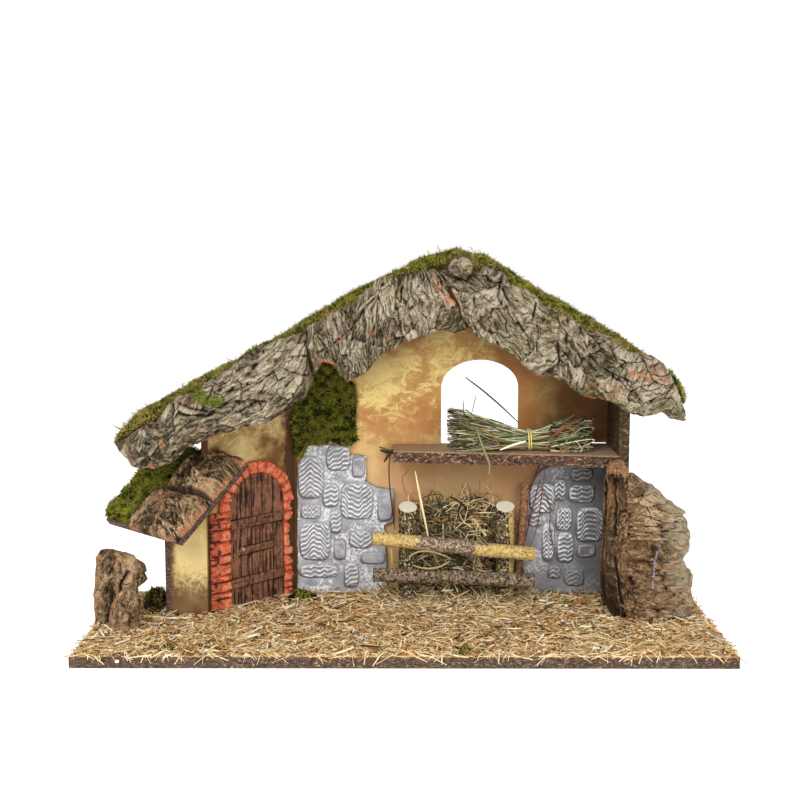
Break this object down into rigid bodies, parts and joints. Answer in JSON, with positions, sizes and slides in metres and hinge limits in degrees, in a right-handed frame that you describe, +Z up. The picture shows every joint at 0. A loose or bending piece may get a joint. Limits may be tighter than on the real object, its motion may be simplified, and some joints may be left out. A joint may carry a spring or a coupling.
{
  "type": "nativity stable",
  "caption": "Chipboard nativity stable with moss and cork-bark roof, loft with hay bundle, hay rack, stone reliefs and a side annex with an arched door.",
  "frame": {"origin": "centre of the base board's underside", "axes": "+X to the viewer's right as seen from the open front, +Y to the back wall, +Z up"},
  "size_m": [0.6042, 0.21, 0.3708],
  "materials": {
    "chipboard": "raw board with brown stained edges",
    "painted_wall": "matte ochre paint airbrushed brown towards the edges",
    "shelf_wood": "brown stained board with pressed grain",
    "straw": "chopped straw glued down",
    "stone_paint": "cast relief painted grey and dry-brushed white",
    "brick_paint": "cast relief painted brick red",
    "door_paint": "cast relief painted dark brown",
    "cork_bark": "raw cork bark, grey and cracked",
    "column_cork": "raw cork bark, brown and fissured",
    "moss": "dried dyed moss",
    "limb_bark": "natural branch bark",
    "lichen_limb": "branch bark with yellow lichen",
    "hay": "dried grass stalks",
    "tie_band": "yellow elastic band"
  },
  "bodies": {
    "root": {"base_board": "chipboard", "straw_ground": "straw", "back_wall": "painted_wall", "side_wall_right": "chipboard", "door_wall": "painted_wall", "annex_front_panel": "painted_wall", "annex_side_wall": "chipboard", "loft_shelf": "shelf_wood", "roof_board_left": "chipboard", "roof_board_right": "chipboard", "annex_roof_board": "chipboard", "brick_surround": "brick_paint", "door_relief": "door_paint", "stone_relief_left": "stone_paint", "stone_relief_right": "stone_paint", "bark_eave_left": "cork_bark", "bark_fascia_left": "cork_bark", "bark_fascia_centre": "cork_bark", "bark_fascia_right": "cork_bark", "bark_eave_right": "cork_bark", "bark_ridge_knob": "cork_bark", "moss_roof_left": "moss", "moss_roof_right": "moss", "moss_corner": "moss", "moss_mound": "moss", "moss_tuft_door": "moss", "moss_tuft_front": "moss", "moss_tuft_right": "moss", "moss_tuft_left": "moss", "annex_bark_lower": "cork_bark", "annex_bark_upper": "cork_bark", "moss_annex": "moss", "column_bark_lining": "column_cork", "column_bark_front": "column_cork", "column_bark_outer": "column_cork", "stump_tall": "column_cork", "stump_chunk": "column_cork", "rack_post_left": "limb_bark", "rack_post_right": "limb_bark", "rack_rail_upper": "lichen_limb", "rack_rail_lower": "limb_bark", "rack_end_stick": "limb_bark", "rack_hay": "hay", "hay_bundle": "hay", "bundle_tie": "tie_band"}
  },
  "joints": []
}
